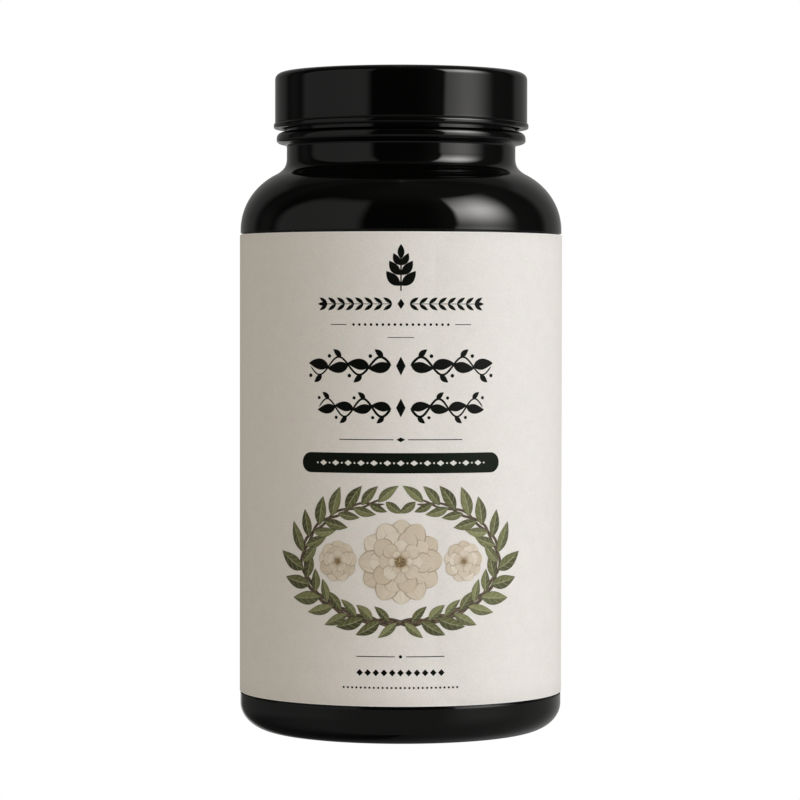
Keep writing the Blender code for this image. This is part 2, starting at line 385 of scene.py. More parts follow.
def cap_thread(angle, radius, height):
    """The cap's thread stands in from the inner wall, and nowhere else."""
    low = NECK_THREAD_LOW - CAP_THREAD_BELOW
    share = thread_share(angle, height, low, CAP_THREAD_START, CAP_THREAD_HALF, CAP_THREAD_FLANK)
    on_wall = np.abs(radius - CAP_INNER_RADIUS) < 0.001 * MM
    return radius - np.where(on_wall, CAP_THREAD_REACH * share, 0)


# Meshes


def mesh_object(name, points, faces, finish):
    """A mesh of points and faces, shaded smooth and placed at the origin."""
    mesh = bpy.data.meshes.new(name)
    mesh.from_pydata(points.tolist(), [], faces)
    mesh.materials.append(finish)
    mesh.shade_smooth()
    mesh.set_sharp_from_angle(angle=SHARP_OVER)
    made = bpy.data.objects.new(name, mesh)
    bpy.context.scene.collection.objects.link(made)
    return made


def turned(name, profile, finish, relief=None):
    """A profile carried round the z axis: (radius cos angle, radius sin angle, height).

    It starts and ends on the axis, where each end is one point, and it runs down an outside.
    relief gives the radius again from the angle, the profile's radius and the height.
    """
    angle = np.linspace(0, 2 * np.pi, AROUND, endpoint=False)[None, :]
    radius = np.repeat(profile[1:-1, :1], AROUND, axis=1)
    height = np.repeat(profile[1:-1, 1:], AROUND, axis=1)
    if relief:
        radius = relief(angle, radius, height)
    points = np.stack([radius * np.cos(angle), radius * np.sin(angle), height], axis=2)
    rows = len(profile) - 2
    index = np.arange(rows * AROUND).reshape(rows, AROUND)
    beside = np.roll(index, -1, axis=1)
    quads = np.stack([index[:-1], index[1:], beside[1:], beside[:-1]], axis=2).reshape(-1, 4)
    first, last = rows * AROUND, rows * AROUND + 1
    start_fan = np.stack([np.full(AROUND, first), index[0], beside[0]], axis=1)
    end_fan = np.stack([index[-1], np.full(AROUND, last), beside[-1]], axis=1)
    poles = [(0, 0, profile[0, 1]), (0, 0, profile[-1, 1])]
    return mesh_object(
        name,
        np.concatenate([points.reshape(-1, 3), poles]),
        quads.tolist() + start_fan.tolist() + end_fan.tolist(),
        finish,
    )


def wrapped(round_way, up, off):
    """A place on the label: round_way is the length round from the front's middle, off is off the paper."""
    angle = round_way / LABEL_RADIUS
    radius = LABEL_RADIUS + off
    return np.stack([radius * np.sin(angle), -radius * np.cos(angle), up + 0 * angle], axis=-1)


def label_sheet(finish):
    """The label: a thin upright section with eased edges, carried round the bottle from end to end."""
    low, high = LABEL_LOW + PAPER_EDGE, LABEL_HIGH - PAPER_EDGE
    outer, inner = -PAPER_EDGE, -PAPER + PAPER_EDGE
    rows = np.linspace(low, high, LABEL_ROWS)
    section = np.concatenate([
        np.stack([np.zeros(LABEL_ROWS), rows], axis=1),
        [(outer, LABEL_HIGH), (inner, LABEL_HIGH)],
        np.stack([np.full(LABEL_ROWS, -PAPER), rows[::-1]], axis=1),
        [(inner, LABEL_LOW), (outer, LABEL_LOW)],
    ])
    half_round = LABEL_RADIUS * (math.pi - LABEL_SPLIT / 2)
    stations = np.linspace(-half_round, half_round, LABEL_STATIONS)[:, None]
    points = wrapped(stations, section[None, :, 1], section[None, :, 0])
    size = len(section)
    index = np.arange(LABEL_STATIONS * size).reshape(LABEL_STATIONS, size)
    above = np.roll(index, -1, axis=1)
    faces = np.stack([index[:-1], index[1:], above[1:], above[:-1]], axis=2).reshape(-1, 4)
    ends = [index[0].tolist(), index[-1, ::-1].tolist()]
    return mesh_object("paper_label", points.reshape(-1, 3), faces.tolist() + ends, finish)


# Strokes of ink


SLAB_TOP = np.radians([0, 22.5, 45, 67.5, 90, 112.5, 135, 157.5, 180])
SLAB_UNDER = np.array([-0.8, -0.3, 0.3, 0.8])
BLADE_STATIONS = 13


def ink_piece(name, strokes, finish):
    """All strokes of one ink as one mesh of thin closed slabs.

    A stroke is (line, half width, layer, tint): points (round, up) along it and its half width at
    each. At an angle v over the slab's top a point lies at line + side * half width * cos v and
    stands off the paper by its layer's height + ink * sin v. The underside lies just off the paper.
    Both ends are single points. The attribute stroke holds (share along, share across, tint).
    """
    points, faces, notes, first = [], [], [], 0
    across = np.concatenate([np.cos(SLAB_TOP), SLAB_UNDER])
    ring = len(across)
    for line, half_width, layer, tint in strokes:
        count = len(line)
        tangent = np.gradient(line, axis=0)
        tangent /= np.linalg.norm(tangent, axis=1)[:, None] + 1e-12
        side = np.stack([-tangent[:, 1], tangent[:, 0]], axis=1)
        lift = INK_BASE + INK_LAYER * layer
        off = np.concatenate([lift + INK * np.sin(SLAB_TOP), np.full(len(SLAB_UNDER), INK_UNDERSIDE)])
        outward = side[1:-1, None, :] * half_width[1:-1, None, None]
        body = line[1:-1, None, :] + outward * across[None, :, None]
        shell = wrapped(body[:, :, 0], body[:, :, 1], off[None, :])
        tips = wrapped(line[[0, -1], 0], line[[0, -1], 1], np.full(2, lift / 2))
        along = np.linspace(0, 1, count)
        note = np.stack([
            np.repeat(along[1:-1, None], ring, axis=1),
            np.repeat(across[None, :], count - 2, axis=0),
            np.full((count - 2, ring), tint),
        ], axis=2)
        points += [shell.reshape(-1, 3), tips]
        notes += [note.reshape(-1, 3), np.array([(0, 0, tint), (1, 0, tint)])]
        index = first + np.arange((count - 2) * ring).reshape(count - 2, ring)
        beside = np.roll(index, -1, axis=1)
        faces += np.stack([index[:-1], beside[:-1], beside[1:], index[1:]], axis=2).reshape(-1, 4).tolist()
        start, end = first + index.size, first + index.size + 1
        faces += np.stack([np.full(ring, start), beside[0], index[0]], axis=1).tolist()
        faces += np.stack([index[-1], beside[-1], np.full(ring, end)], axis=1).tolist()
        first = end + 1
    made = mesh_object(name, np.concatenate(points), faces, finish)
    stored = made.data.attributes.new("stroke", "FLOAT_VECTOR", "POINT")
    stored.data.foreach_set("vector", np.concatenate(notes).astype(np.float32).ravel())
    return made


def eased_shares(count):
    """Shares from 0 to 1 that crowd at both ends: (1 - cos(pi k)) / 2."""
    return (1 - np.cos(np.pi * np.linspace(0, 1, count))) / 2


def blade(base, angle, length, bend, width, fullness, belly, layer=0, tint=0.5):
    """A leaf or petal that grows from its base: base + length (u along + bend u^2 sideways).

    Its half width is width * sin(pi u^belly)^fullness: a belly over 1 puts the widest place
    towards the tip, and a fullness under 1 rounds the ends.
    """
    u = eased_shares(BLADE_STATIONS)
    along = np.array([math.cos(angle), math.sin(angle)])
    sideways = np.array([-along[1], along[0]])
    line = np.array(base) + length * (u[:, None] * along + bend * u[:, None] ** 2 * sideways)
    half_width = width * np.sin(np.pi * u**belly).clip(0) ** fullness
    return line, half_width, layer, tint


def rule(start, end, half_width):
    """A straight rule with round ends, where its half width follows a circle: sqrt(r^2 - x^2)."""
    start, end = np.array(start, float), np.array(end, float)
    length = np.linalg.norm(end - start)
    round_end = half_width * (1 - np.cos(np.linspace(0, np.pi / 2, 7)))
    middle = np.linspace(half_width, length - half_width, max(3, round(length / (0.4 * MM))))[1:-1]
    reach = np.concatenate([round_end, middle, length - round_end[::-1]])
    from_end = np.minimum(reach, length - reach).clip(0, half_width)
    line = start + (end - start) / length * reach[:, None]
    return line, np.sqrt((2 * half_width - from_end) * from_end), 0, 0.5


def dot(centre, radius, layer=0, tint=0.5):
    """A disc, as a short stroke whose half width is sqrt(radius^2 - x^2)."""
    x = radius * -np.cos(np.linspace(0, np.pi, 9))
    line = np.array(centre) + np.stack([x, 0 * x], axis=1)
    return line, np.sqrt((radius**2 - x**2).clip(0)), layer, tint


def lozenge(centre, half_long, half_high, layer=0):
    """A diamond, as a short stroke whose half width falls evenly to both ends."""
    x = np.linspace(-1, 1, 5)
    line = np.array(centre) + np.stack([half_long * x, 0 * x], axis=1)
    return line, half_high * (1 - np.abs(x)), layer, 0.5


def mirrored(strokes):
    """The strokes and their mirror images across the label's upright middle."""
    flipped = [(line[::-1] * (-1, 1), width[::-1], layer, tint) for line, width, layer, tint in strokes]
    return strokes + flipped


def garland(up, half_length, leaf, width, pairs, spread, gap):
    """Leaves in pairs along a level stem, growing away from the middle, with one at each end."""
    strokes = [rule((gap, up), (half_length - leaf * 0.7, up), width * 0.16)]
    for place in np.linspace(gap, half_length - leaf, pairs):
        for way in (1, -1):
            base = (place, up + way * width * 0.1)
            strokes.append(blade(base, way * spread, leaf, -way * 0.12, width, 0.9, 0.9, int(way > 0)))
    strokes.append(blade((half_length - leaf, up), 0, leaf, 0, width, 0.9, 0.9))
    return mirrored(strokes)


def vine(up, start, end, waves, height, leaf, flip=1):
    """A running vine: its stem is up + height sin(2 pi waves t), with a leaf curled into each hollow.

    Over each crest stands a small leaf with a berry. The vine grows away from the middle, and its
    mirror image grows the other way.
    """
    t = np.linspace(0, 1, 40 * waves + 1)
    wave = (end - start) / waves
    line = np.stack([start + (end - start) * t, up + flip * height * np.sin(2 * np.pi * waves * t)], axis=1)
    strokes = [(line, 0.24 * MM * (1 - 0.5 * t) * smooth_step(np.minimum(t, 1 - t) * 30) ** 0.5, 0, 0.5)]
    for number in range(2 * waves):
        side = flip * (1 if number % 2 == 0 else -1)
        root = start + wave * number / 2
        crest = root + wave / 4
        curled = (root + 0.02 * wave, up + side * 0.1 * height)
        strokes.append(blade(curled, -side * math.radians(20), leaf, side * 0.2, 0.25 * leaf, 0.85, 0.8, 1))
        outer = (crest - 0.05 * wave, up + side * 0.95 * height)
        strokes.append(blade(
            outer, side * math.radians(58), 0.5 * leaf, -side * 0.25, 0.13 * leaf, 0.9, 0.85, 1,
        ))
        strokes.append(dot((crest + 0.24 * wave, up + side * 1.1 * height), 0.085 * leaf, 1))
    return mirrored(strokes)


def row_of(shape, up, half_length, count):
    """One shape repeated along a level line."""
    return [shape((place, up)) for place in np.linspace(-half_length, half_length, count)]


# Print: what stands in each place on the label, in heights on the bottle


SPRIG_BASE = 81.9 * MM
BORDER_UP = 79.6 * MM
DOTS_UP = 75.9 * MM
SHORT_RULE_UP = 73.6 * MM
VINE_UP = (68.5 * MM, 61.0 * MM)
FINE_RULE_UP = 55.3 * MM
BAND_UP = 51.1 * MM
BAND_HALF_HEIGHT = 1.82 * MM
BAND_HALF_LENGTH = 18.9 * MM
WREATH_UP = 33.4 * MM
WREATH_HALF_LONG = 18.8 * MM
WREATH_HALF_HIGH = 10.9 * MM
FOOT_UP = (16.4 * MM, 13.5 * MM, 10.8 * MM)


def sprig(base_up):
    """An upright stem with three pairs of leaves that shorten upwards and one leaf at its end."""
    stem = [rule((0, base_up), (0, base_up + 6.2 * MM), 0.13 * MM)]
    pairs = []
    for up, length, turn in ((1.0, 3.6, 58), (2.9, 3.2, 52), (4.6, 2.5, 44)):
        angle = math.radians(90 - turn)
        pairs.append(blade((0, base_up + up * MM), angle, length * MM, 0.22, 0.25 * length * MM, 0.9, 0.95))
    end = blade((0, base_up + 5.7 * MM), math.pi / 2, 2.7 * MM, 0, 0.62 * MM, 0.9, 0.95)
    return stem + mirrored(pairs) + [end]


def dark_print():
    """Everything in the near-black green: the sprig, the border, the rules and the two vines."""
    strokes = sprig(SPRIG_BASE)
    strokes += garland(BORDER_UP, 15.6 * MM, 1.9 * MM, 0.34 * MM, 8, math.radians(42), 1.6 * MM)
    strokes.append(lozenge((0, BORDER_UP), 0.62 * MM, 0.95 * MM))
    strokes += row_of(lambda at: dot(at, 0.24 * MM), DOTS_UP, 8.6 * MM, 17)
    strokes += mirrored([rule((9.9 * MM, DOTS_UP), (13.0 * MM, DOTS_UP), 0.07 * MM)])
    strokes.append(rule((-2.4 * MM, SHORT_RULE_UP), (2.4 * MM, SHORT_RULE_UP), 0.06 * MM))
    for up, end, leaf, flip in zip(VINE_UP, (17.2 * MM, 15.4 * MM), (4.0 * MM, 3.5 * MM), (1, -1)):
        strokes += vine(up, 1.7 * MM, end, 2, 1.6 * MM, leaf, flip)
        strokes.append(lozenge((0, up), 0.85 * MM, 1.7 * MM))
    strokes += mirrored([rule((1.3 * MM, FINE_RULE_UP), (11.3 * MM, FINE_RULE_UP), 0.08 * MM)])
    strokes.append(lozenge((0, FINE_RULE_UP), 0.8 * MM, 0.42 * MM))
    strokes += mirrored([rule((1.0 * MM, FOOT_UP[0]), (8.0 * MM, FOOT_UP[0]), 0.08 * MM)])
    strokes.append(dot((0, FOOT_UP[0]), 0.3 * MM))
    strokes += row_of(lambda at: lozenge(at, 0.6 * MM, 0.62 * MM), FOOT_UP[1], 7.4 * MM, 11)
    strokes += row_of(lambda at: dot(at, 0.2 * MM), FOOT_UP[2], 10.4 * MM, 27)
    return strokes


def band():
    """The solid band with round ends."""
    ends = (-BAND_HALF_LENGTH, BAND_UP), (BAND_HALF_LENGTH, BAND_UP)
    return [rule(*ends, BAND_HALF_HEIGHT)]


def band_ornament():
    """Small light leaves and dots along the band."""
    strokes = [lozenge((0, BAND_UP), 0.72 * MM, 0.5 * MM, 2)]
    for place in np.linspace(2.4 * MM, 14.4 * MM, 6):
        strokes += mirrored([lozenge((place, BAND_UP), 0.72 * MM, 0.5 * MM, 2)])
    for place in np.linspace(1.2 * MM, 15.6 * MM, 7):
        strokes += mirrored([dot((place, BAND_UP), 0.17 * MM, 2)])
    return strokes


def wreath_place(share, offset=0.0):
    """A point on the right half of the wreath's oval, and the way along it.

    The share is of its length, measured from the foot (0) to the head (1). Under 0 it runs on
    past the foot's middle.
    """
    turns = np.radians(np.linspace(-100, 84, 369))
    steps = np.hypot(WREATH_HALF_LONG * np.sin(turns), WREATH_HALF_HIGH * np.cos(turns))
    length = np.cumsum(steps)
    length -= np.interp(math.radians(-90), turns, length)
    turn = np.interp(share, length / length[-1], turns)
    place = np.array([
        (WREATH_HALF_LONG + offset) * math.cos(turn),
        WREATH_UP + (WREATH_HALF_HIGH + offset) * math.sin(turn),
    ])
    along = math.atan2(WREATH_HALF_HIGH * math.cos(turn), -WREATH_HALF_LONG * math.sin(turn))
    return place, along


def wreath_twigs():
    """Two twigs that twine along each side of the wreath and cross their mirror images at its foot."""
    strokes = []
    for phase in (0, math.pi):
        shares = np.linspace(-0.055, 0.98, 120)
        line = np.array([wreath_place(s, 0.42 * MM * math.sin(34 * s + phase))[0] for s in shares])
        ends = smooth_step(np.minimum(shares - shares[0], shares[-1] - shares) * 60) ** 0.5
        half_width = 0.44 * MM * (1 - 0.6 * shares.clip(0)) * ends
        strokes.append((line, half_width, int(phase > 0), 0.3 + 0.4 * (phase > 0)))
    return mirrored(strokes)


def wreath_leaves():
    """Leaves along both sides of the twigs, longest half way up, with room between them for the bark."""
    rng = np.random.default_rng(5)
    strokes = []
    for number, share in enumerate(np.linspace(0.03, 0.97, 15)):
        for way in (1, -1):
            place, along = wreath_place(share + 0.015 * way)
            length = (4.4 + 1.2 * math.sin(math.pi * share)) * MM * rng.uniform(0.9, 1.08)
            length *= 1.0 if way < 0 else 0.82
            angle = along + way * math.radians(rng.uniform(38, 56))
            strokes.append(blade(
                place, angle, length, -way * rng.uniform(0.08, 0.24), length * rng.uniform(0.18, 0.225),
                0.95, 0.85, 2 + (number + (way > 0)) % 3, rng.uniform(0, 1),
            ))
    return mirrored(strokes)


def blossom(centre, radius, petals, rings, layer, rng):
    """Rings of petals about a centre, each ring smaller and turned half a petal from the one under it."""
    strokes = []
    for ring in range(rings):
        size = radius * (1 - 0.27 * ring)
        count = petals - 2 * ring
        for number in range(count):
            angle = 2 * math.pi * (number + 0.5 * (ring % 2)) / count + math.pi / 2
            out = np.array([math.cos(angle), math.sin(angle)])
            strokes.append(blade(
                np.array(centre) + 0.1 * radius * out, angle + rng.uniform(-0.05, 0.05), size * 0.92,
                rng.uniform(-0.04, 0.04), size * math.sin(math.pi / count) * 1.12,
                0.62, 1.5, layer + 2 * ring + number % 2, rng.uniform(0, 1) + 0.001,
            ))
    return strokes


STAMENS = 24


def stamens(centre, radius, layer, rng):
    """A core of small dots set by the golden angle: distance grows as the square root of the number."""
    strokes = [dot(centre, radius * 0.8, layer, 0.15)]
    for number in range(1, STAMENS):
        reach = radius * math.sqrt(number / STAMENS)
        angle = number * math.radians(137.5)
        place = np.array(centre) + reach * np.array([math.cos(angle), math.sin(angle)])
        strokes.append(dot(place, radius * 0.12, layer + 1, rng.uniform(0.3, 1)))
    return strokes


# Each blossom's place across the label, radius, number of petals in its widest ring, and rings
BLOSSOMS = (
    (0.0 * MM, 7.5 * MM, 12, 4),
    (-11.6 * MM, 3.7 * MM, 9, 3),
    (11.6 * MM, 3.7 * MM, 9, 3),
)


def blossom_strokes():
    """The petals of all blossoms, over every leaf's layer, and their cores over the petals."""
    rng = np.random.default_rng(11)
    petals, cores = [], []
    for across, radius, count, rings in BLOSSOMS:
        centre = (across, WREATH_UP)
        petals += blossom(centre, radius, count, rings, 5, rng)
        cores += stamens(centre, radius * 0.16, 5 + 2 * rings, rng)
    return petals, cores


# Materials


def node(tree, kind, inputs=None, **settings):
    """A shader node with its settings; an input is a number, a vector or another node's output."""
    made = tree.nodes.new(kind)
    for name, value in settings.items():
        setattr(made, name, value)
    for name, value in (inputs or {}).items():
        if isinstance(value, bpy.types.NodeSocket):
            tree.links.new(value, made.inputs[name])
        else:
            made.inputs[name].default_value = value
    return made


def calculated(tree, operation, *values):
    """A Math node's output."""
    inputs = dict(enumerate(values))
    return node(tree, "ShaderNodeMath", inputs, operation=operation).outputs[0]


def ranged(tree, value, start, end, low=0.0, high=1.0, way="SMOOTHSTEP"):
    """The value, carried from start..end to low..high, and held outside."""
    inputs = {"Value": value, "From Min": start, "From Max": end, "To Min": low, "To Max": high}
    return node(tree, "ShaderNodeMapRange", inputs, interpolation_type=way).outputs["Result"]


def blended(tree, share, first, second):
    """Two colours blended; a colour is three numbers or an output."""
    made = node(tree, "ShaderNodeMix", data_type="RGBA")
    for name, value in (("Factor_Float", share), ("A_Color", first), ("B_Color", second)):
        socket = next(s for s in made.inputs if s.identifier == name)
        if isinstance(value, bpy.types.NodeSocket):
            tree.links.new(value, socket)
        elif isinstance(value, tuple):
            socket.default_value = (*value, 1)
        else:
            socket.default_value = value
    return next(s for s in made.outputs if s.identifier == "Result_Color")


def scaled(tree, color, share):
    """A colour times a number."""
    inputs = {0: color, "Scale": share}
    return node(tree, "ShaderNodeVectorMath", inputs, operation="SCALE").outputs["Vector"]


def noise(tree, place, size, detail=2.0, roughness=0.5):
    """Noise whose features are about size across, from 0 to 1."""
    inputs = {"Vector": place, "Scale": 1 / size, "Detail": detail, "Roughness": roughness}
    return node(tree, "ShaderNodeTexNoise", inputs).outputs["Fac"]


REFRACTIVE_INDEX = 1.5


def new_material(name, color, roughness):
    made = bpy.data.materials.new(name)
    made.use_nodes = True
    shader = made.node_tree.nodes["Principled BSDF"]
    shader.inputs["Base Color"].default_value = (*color, 1)
    shader.inputs["Roughness"].default_value = roughness
    shader.inputs["IOR"].default_value = REFRACTIVE_INDEX
    return made, made.node_tree, shader


def object_place(tree):
    return node(tree, "ShaderNodeTexCoord").outputs["Object"]


def bumped(tree, shader, height, distance):
    """Height from 0 to 1 raises the surface by the distance."""
    inputs = {"Height": height, "Distance": distance, "Strength": 1.0}
    tree.links.new(node(tree, "ShaderNodeBump", inputs).outputs["Normal"], shader.inputs["Normal"])


def plastic(name, color, roughness, ripple):
    """Glossy black plastic: a slow ripple, a faint haze that changes over the surface and fine rubs."""
    made, tree, shader = new_material(name, color, roughness)
    place = object_place(tree)
    wave = noise(tree, place, 5 * MM, 1.0)
    skin = noise(tree, place, 0.35 * MM, 2.0)
    haze = noise(tree, place, 9 * MM, 3.0)
    rub_place = node(tree, "ShaderNodeMapping", {
        "Vector": place, "Scale": (1, 1, 7), "Rotation": (0.3, 0.2, 0),
    })
    rub = noise(tree, rub_place.outputs["Vector"], 1.4 * MM, 6.0, 0.75)
    rubbed = ranged(tree, rub, 0.62, 0.8, 0, 0.05)
    hazed = ranged(tree, haze, 0.3, 0.75, roughness * 0.8, roughness * 1.35)
    tree.links.new(calculated(tree, "ADD", hazed, rubbed), shader.inputs["Roughness"])
    height = calculated(tree, "ADD", wave, calculated(tree, "MULTIPLY", skin, 0.04))
    bumped(tree, shader, height, ripple)
    return made


def liner_foam():
    """White foamed plastic: closed cells of two sizes under a dull skin."""
    made, tree, shader = new_material("liner_foam", (0.82, 0.82, 0.8), 0.6)
    place = object_place(tree)
    inputs = {"Vector": place, "Scale": 1 / (0.35 * MM)}
    cells = node(tree, "ShaderNodeTexVoronoi", inputs).outputs["Distance"]
    shade = blended(tree, ranged(tree, cells, 0.1, 0.6), (0.84, 0.84, 0.82), (0.76, 0.76, 0.74))
    tree.links.new(shade, shader.inputs["Base Color"])
    bumped(tree, shader, calculated(tree, "ADD", cells, noise(tree, place, 1.5 * MM)), 0.03 * MM)
    return made


PAPER_TONE = (0.84, 0.805, 0.765)


def paper_grain(tree, place):
    """The paper's own unevenness: fine grain and soft cloudy patches, about 1."""
    fine = ranged(tree, noise(tree, place, 0.3 * MM, 2.0), 0.25, 0.75, 0.95, 1.05, "LINEAR")
    cloud = ranged(tree, noise(tree, place, 2.6 * MM, 3.0), 0.25, 0.75, 0.98, 1.02, "LINEAR")
    return calculated(tree, "MULTIPLY", fine, cloud)


def label_paper():
    """Uncoated cream paper: grain, faint warm and cool patches, and a painted highlight: a lighter line
    along each cut edge.
    """
    made, tree, shader = new_material("label_paper", PAPER_TONE, 0.72)
    place = object_place(tree)
    patches = ranged(tree, noise(tree, place, 1.1 * MM, 3.0), 0.35, 0.65)
    tone = blended(tree, patches, (0.835, 0.808, 0.760), (0.848, 0.800, 0.768))
    grained = scaled(tree, tone, paper_grain(tree, place))
    height = node(tree, "ShaderNodeSeparateXYZ", {"Vector": place}).outputs["Z"]
    from_low = calculated(tree, "SUBTRACT", height, LABEL_LOW)
    from_high = calculated(tree, "SUBTRACT", LABEL_HIGH, height)
    from_cut = calculated(tree, "MINIMUM", from_low, from_high)
    # Painted highlight: near each cut edge the paper's colour is blended towards near white
    painted_edge_highlight = ranged(tree, from_cut, 0.6 * EDGE_HIGHLIGHT_BAND, EDGE_HIGHLIGHT_BAND, 0.8, 0)
    color = blended(tree, painted_edge_highlight, grained, (0.93, 0.92, 0.91))
    tree.links.new(color, shader.inputs["Base Color"])
    fibres = calculated(tree, "ADD", noise(tree, place, 0.12 * MM, 3.0), noise(tree, place, 0.5 * MM, 2.0))
    bumped(tree, shader, fibres, 0.012 * MM)
    return made


def stroke_shares(tree):
    """The stroke attribute's three parts: share along, share across and tint."""
    stored = node(tree, "ShaderNodeAttribute", attribute_name="stroke").outputs["Vector"]
    parts = node(tree, "ShaderNodeSeparateXYZ", {"Vector": stored})
    return parts.outputs["X"], parts.outputs["Y"], parts.outputs["Z"]


def stretched(tree, shares, scales):
    """A place for noise: a stroke's three parts, each times its own scale."""
    axes = [calculated(tree, "MULTIPLY", share, scale) for share, scale in zip(shares, scales)]
    return node(tree, "ShaderNodeCombineXYZ", dict(zip("XYZ", axes))).outputs["Vector"]


def ink(name, color, light):
    """A flat ink that the paper's grain shows through: a little lighter where the grain is high."""
    made, tree, shader = new_material(name, color, 0.55)
    shader.inputs["Specular IOR Level"].default_value = 0.15
    place = object_place(tree)
    starved = ranged(tree, noise(tree, place, 0.22 * MM, 3.0), 0.55, 0.8)
    tree.links.new(blended(tree, starved, color, light), shader.inputs["Base Color"])
    bumped(tree, shader, noise(tree, place, 0.12 * MM, 3.0), 0.006 * MM)
    return made


def leaf_ink():
    """Printed leaves: one half in shade, a pale midrib, slanting side veins and darker edges."""
    made, tree, shader = new_material("leaf_ink", (0.16, 0.16, 0.07), 0.6)
    place = object_place(tree)
    along, across, tint = stroke_shares(tree)
    olive = blended(tree, tint, (0.095, 0.098, 0.032), (0.215, 0.225, 0.095))
    half = ranged(tree, across, -0.12, 0.12, 0.62, 1.12)
    shaded = scaled(tree, olive, half)
    from_rib = calculated(tree, "ABSOLUTE", across)
    slant = calculated(tree, "SUBTRACT", calculated(tree, "MULTIPLY", along, 44.0),
                       calculated(tree, "MULTIPLY", from_rib, 6.5))
    vein = ranged(tree, calculated(tree, "SINE", slant), 0.72, 1.0, 0, 0.4)
    rib = ranged(tree, from_rib, 0.13, 0.04, 0, 0.75)
    veined = blended(tree, calculated(tree, "MAXIMUM", vein, rib), shaded, (0.36, 0.37, 0.2))
    edge = ranged(tree, from_rib, 0.78, 1.0, 0, 0.7)
    edged = blended(tree, edge, veined, (0.05, 0.055, 0.02))
    mottled = ranged(tree, noise(tree, place, 0.5 * MM, 3.0), 0.25, 0.75, 0.82, 1.18, "LINEAR")
    tree.links.new(scaled(tree, edged, mottled), shader.inputs["Base Color"])
    return made


def petal_ink():
    """Printed petals: warm brown at the base, cream at the tip, streaked, with a soft brown outline."""
    made, tree, shader = new_material("petal_ink", (0.74, 0.66, 0.54), 0.6)
    along, across, tint = stroke_shares(tree)
    cream = blended(tree, tint, (0.66, 0.56, 0.43), (0.80, 0.72, 0.60))
    warmed = blended(tree, ranged(tree, along, 0.05, 0.6, 0.85, 0), cream, (0.33, 0.23, 0.14))
    streak_place = stretched(tree, (along, across, tint), (1.6, 9.0, 40.0))
    streak = ranged(tree, noise(tree, streak_place, 1.0, 2.0), 0.45, 0.75, 0, 0.45)
    streaked = blended(tree, streak, warmed, (0.47, 0.37, 0.26))
    outline = ranged(tree, calculated(tree, "ABSOLUTE", across), 0.8, 0.98, 0, 0.8)
    tip = ranged(tree, along, 0.955, 1.0, 0, 0.7)
    color = blended(tree, calculated(tree, "MAXIMUM", outline, tip), streaked, (0.36, 0.27, 0.18))
    tree.links.new(color, shader.inputs["Base Color"])
    return made


def core_ink():
    """Printed stamens, from dark brown to straw by their tint."""
    made, tree, shader = new_material("core_ink", (0.4, 0.27, 0.12), 0.6)
    tint = stroke_shares(tree)[2]
    tree.links.new(blended(tree, tint, (0.12, 0.07, 0.03), (0.62, 0.47, 0.24)), shader.inputs["Base Color"])
    return made


def twig_ink():
    """Printed bark: dark brown with short pale streaks along the twig."""
    made, tree, shader = new_material("twig_ink", (0.07, 0.045, 0.025), 0.6)
    streak_place = stretched(tree, stroke_shares(tree), (60.0, 2.0, 20.0))
    streak = ranged(tree, noise(tree, streak_place, 1.0, 3.0), 0.4, 0.7)
    bark = blended(tree, streak, (0.045, 0.028, 0.014), (0.2, 0.14, 0.09))
    tree.links.new(bark, shader.inputs["Base Color"])
    return made


# The studio: floor, lights and camera


AMBIENT = (0.49, 0.461, 0.411)  # on dull surfaces, from all round
MIRRORED_TINT = (1.0, 0.985, 0.965)


